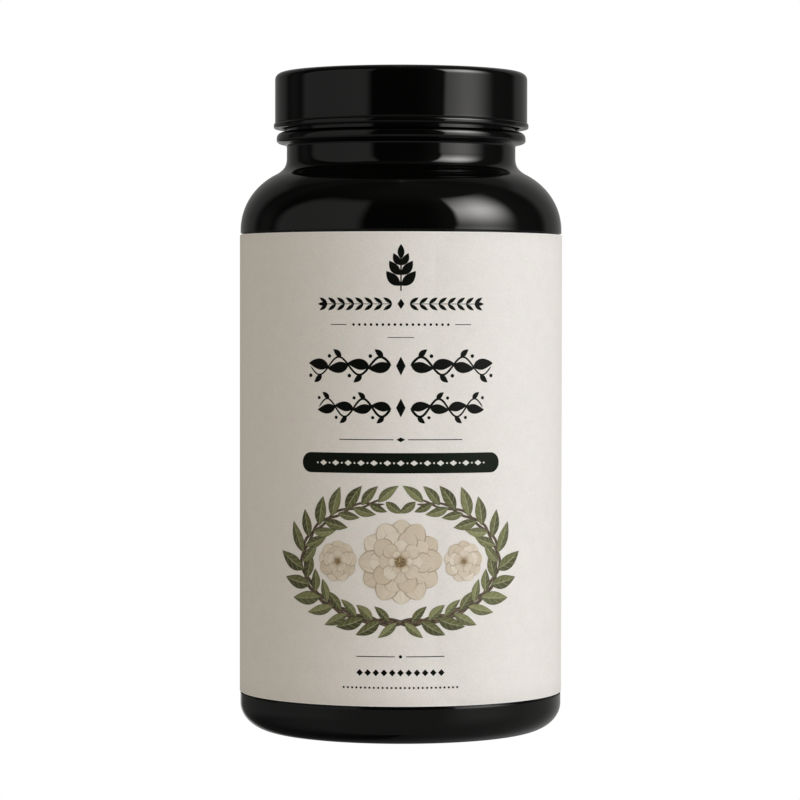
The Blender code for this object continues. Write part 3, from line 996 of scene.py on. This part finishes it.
def studio_world():
    """A white studio, with what glossy surfaces mirror set by direction.

    The azimuth is 0 towards the camera and grows to its right, and the elevation is 0 level. Both
    are in degrees, as are the bounds of the ranged calls on them. These give a brightness, with
    the white backdrop as 1, a share of one, or how far a box's edge leans aside. Two tall soft
    boxes stand at the sides, the right one far brighter high up. It is dark in front and overhead
    and a little brighter behind. The floor side is a soft grey in front, brighter near level at
    both sides and darkest on the left behind.
    """
    world = bpy.data.worlds.new("studio")
    world.use_nodes = True
    tree = world.node_tree
    tree.nodes.clear()
    direction = node(tree, "ShaderNodeTexCoord").outputs["Generated"]
    parts = node(tree, "ShaderNodeSeparateXYZ", {"Vector": direction})
    forward = calculated(tree, "MULTIPLY", parts.outputs["Y"], -1.0)
    azimuth = calculated(tree, "DEGREES", calculated(tree, "ARCTAN2", parts.outputs["X"], forward))
    elevation = calculated(tree, "DEGREES", calculated(tree, "ARCSINE", parts.outputs["Z"]))
    aside = calculated(tree, "ABSOLUTE", azimuth)

    def product(*values):
        result = values[0]
        for value in values[1:]:
            result = calculated(tree, "MULTIPLY", result, value)
        return result

    def total(*values):
        result = values[0]
        for value in values[1:]:
            result = calculated(tree, "ADD", result, value)
        return result

    # The left soft box: evenly lit, with an upper left corner that is round like an ellipse
    corner_along = ranged(tree, azimuth, -110, -60, 50 / 39.5, 0, "LINEAR")
    corner_up = product(elevation, 1 / 47)
    from_corner = total(product(corner_along, corner_along), product(corner_up, corner_up))
    left_box = product(
        ranged(tree, from_corner, 0.75, 1.3, 1, 0),
        ranged(tree, total(azimuth, ranged(tree, elevation, 10, 35, 1.8, 0)), -32, -23, 1, 0),
        ranged(tree, azimuth, -95, -45, 0.26, 0.36, "LINEAR"),
    )

    # The right soft box: brightest at its lamp, two thirds of the way up
    left_edge = total(azimuth, ranged(tree, elevation, 3, 5, 1.5, 0), ranged(tree, elevation, 25, 50, 0, 2))
    right_box = product(
        ranged(tree, left_edge, 38.5, 43.7),
        ranged(tree, azimuth, 42, 59, 0.56, 1, "LINEAR"),
        ranged(tree, azimuth, 63, 95, 1, 0),
        total(
            ranged(tree, elevation, 2.5, 3.7, 2.25, 1.72),
            ranged(tree, elevation, 2, 28, 0, 7.45),
        ),
        ranged(tree, elevation, 31, 54.5, 1, 0, "LINEAR"),
    )

    # Between, behind and over the boxes
    behind = product(
        total(
            ranged(tree, azimuth, 119, 131, 0, 0.17),
            ranged(tree, azimuth, -135, -121, 0.125, 0),
            ranged(tree, aside, 135, 172, 0, 0.09),
        ),
        ranged(tree, elevation, 36, 46, 1, 0.35),
    )
    beside_right = product(
        ranged(tree, azimuth, 14, 42, 0, 0.06),
        ranged(tree, azimuth, 92, 118, 1, 0.4),
        ranged(tree, elevation, 45, 65, 1, 0),
    )
    beside_left = product(
        ranged(tree, azimuth, -112, -96, 0.05, 0),
        ranged(tree, azimuth, -128, -114),
        ranged(tree, elevation, 8, 30, 1, 0.4),
    )
    overhead = product(
        ranged(tree, elevation, 38, 66),
        ranged(tree, azimuth, -100, 40, 0.018, 0.058),
        ranged(tree, azimuth, 75, 110, 1, 0.6),
    )
    surround = total(0.018, behind, beside_right, beside_left, overhead)

    # The floor side: even in front, brighter near level at both sides, dark on the left behind
    low_front = product(
        ranged(tree, elevation, -85, -45, 0.15, 0.2),
        ranged(tree, azimuth, -150, -60, 0.15, 1),
        ranged(tree, azimuth, 75, 165, 1, 0.62),
    )
    low_sides = product(
        ranged(tree, elevation, -50, -6, 0, 1, "LINEAR"),
        total(
            product(ranged(tree, azimuth, 25, 52), ranged(tree, azimuth, 62, 95, 0.22, 0.07)),
            product(ranged(tree, azimuth, 125, 165), 0.18),
        ),
    )
    low_left = product(
        ranged(tree, elevation, -27, -8),
        total(ranged(tree, azimuth, -60, -25, 0.07, 0), ranged(tree, azimuth, -170, -158, 0.5, 0)),
    )
    floor_side = total(low_front, low_sides, low_left)
    above = ranged(tree, elevation, -4, -1)
    upper = total(left_box, right_box, surround)
    below = calculated(tree, "SUBTRACT", 1.0, above)
    all_round = total(product(above, upper), product(below, floor_side))

    # Straight behind, where the left and the right meet, both fade to one level
    meeting = ranged(tree, aside, 166, 180)
    mirrored_level = total(
        product(calculated(tree, "SUBTRACT", 1.0, meeting), all_round),
        product(meeting, ranged(tree, elevation, -30, 0, 0.08, 0.24)),
    )

    ray = node(tree, "ShaderNodeLightPath")
    mirrored_light = node(tree, "ShaderNodeBackground", {
        "Color": (*MIRRORED_TINT, 1), "Strength": mirrored_level,
    })
    dull_light = node(tree, "ShaderNodeBackground", {"Color": (*AMBIENT, 1)})
    backdrop = node(tree, "ShaderNodeBackground", {"Color": (1, 1, 1, 1)})
    unseen = node(tree, "ShaderNodeMixShader", {
        0: ray.outputs["Is Glossy Ray"], 1: dull_light.outputs[0], 2: mirrored_light.outputs[0],
    })
    seen = node(tree, "ShaderNodeMixShader", {
        0: ray.outputs["Is Camera Ray"], 1: unseen.outputs[0], 2: backdrop.outputs[0],
    })
    node(tree, "ShaderNodeOutputWorld", {"Surface": seen.outputs[0]})
    bpy.context.scene.world = world


def studio_floor():
    """A wide pale floor just under the bottle, which the bottle doesn't mirror: the world does that."""
    made, tree, shader = new_material("floor_paint", (0, 0, 0), 1.0)
    shader.inputs["Specular IOR Level"].default_value = 0.0
    shader.inputs["Emission Color"].default_value = (1, 1, 1, 1)
    shader.inputs["Emission Strength"].default_value = 1.0
    square = np.array([(-1, -1), (1, -1), (1, 1), (-1, 1)]) * FLOOR_HALF
    corners = np.column_stack([square, np.full(4, -FLOOR_DROP)])
    floor = mesh_object("floor", corners, [(0, 1, 2, 3)], made)
    floor.visible_glossy = False
    floor.visible_diffuse = False


def key_light():
    """A wide soft light from the front right that shades the label but doesn't show in the plastic."""
    light = bpy.data.lights.new("key", "AREA")
    light.shape = "RECTANGLE"
    light.size = KEY_WIDTH
    light.size_y = KEY_HEIGHT
    light.energy = KEY_POWER
    light.color = KEY_COLOR
    lamp = bpy.data.objects.new("key", light)
    lamp.location = (KEY_DISTANCE * math.sin(KEY_AZIMUTH), -KEY_DISTANCE * math.cos(KEY_AZIMUTH), KEY_MIDDLE)
    lamp.rotation_euler = (math.radians(90), 0, KEY_AZIMUTH)
    lamp.visible_glossy = False
    lamp.visible_camera = False
    bpy.context.scene.collection.objects.link(lamp)


def camera():
    data = bpy.data.cameras.new("camera")
    data.lens = LENS
    data.sensor_width = SENSOR
    seen = bpy.data.objects.new("camera", data)
    seen.location = (CAMERA_ASIDE, -CAMERA_DISTANCE, CAMERA_HEIGHT)
    seen.rotation_euler = (math.pi / 2 - CAMERA_DOWN, CAMERA_ROLL, 0)
    bpy.context.scene.collection.objects.link(seen)
    bpy.context.scene.camera = seen


def placed(piece, body, node_name=None):
    """The piece rides on its body and, when a node is named, hides that imported solid and stands for it."""
    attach(piece, body)
    if node_name:
        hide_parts(node_name)


camera()
studio_world()
studio_floor()
key_light()

BLACK = (0.0015, 0.0014, 0.0012)
bottle_plastic = plastic("bottle_plastic", BLACK, 0.045, 0.008 * MM)
cap_plastic = plastic("cap_plastic", BLACK, 0.04, 0.003 * MM)

moulded_bottle = turned("moulded_bottle", bottle_profile(), bottle_plastic, neck_thread)
screw_cap = turned("screw_cap", cap_profile(), cap_plastic, cap_thread)
cap_liner = turned("cap_liner", liner_profile(), liner_foam())
placed(moulded_bottle, "bottle", "bottle")
placed(screw_cap, "cap", "cap")
placed(cap_liner, "liner", "liner")
placed(label_sheet(label_paper()), "bottle", "label")

petal_strokes, core_strokes = blossom_strokes()
dark_ink = ink("dark_ink", (0.0015, 0.0025, 0.001), (0.009, 0.012, 0.007))
band_ink = ink("band_ink", (0.0035, 0.0068, 0.003), (0.013, 0.02, 0.011))
cream_ink = ink("cream_ink", (0.8, 0.78, 0.73), (0.7, 0.68, 0.62))
for name, strokes, finish in (
    ("print_dark", dark_print(), dark_ink),
    ("print_band", band(), band_ink),
    ("print_band_ornament", band_ornament(), cream_ink),
    ("print_twigs", wreath_twigs(), twig_ink()),
    ("print_leaves", wreath_leaves(), leaf_ink()),
    ("print_petals", petal_strokes, petal_ink()),
    ("print_stamens", core_strokes, core_ink()),
):
    placed(ink_piece(name, strokes, finish), "bottle")

bpy.context.scene.view_settings.view_transform = "Standard"
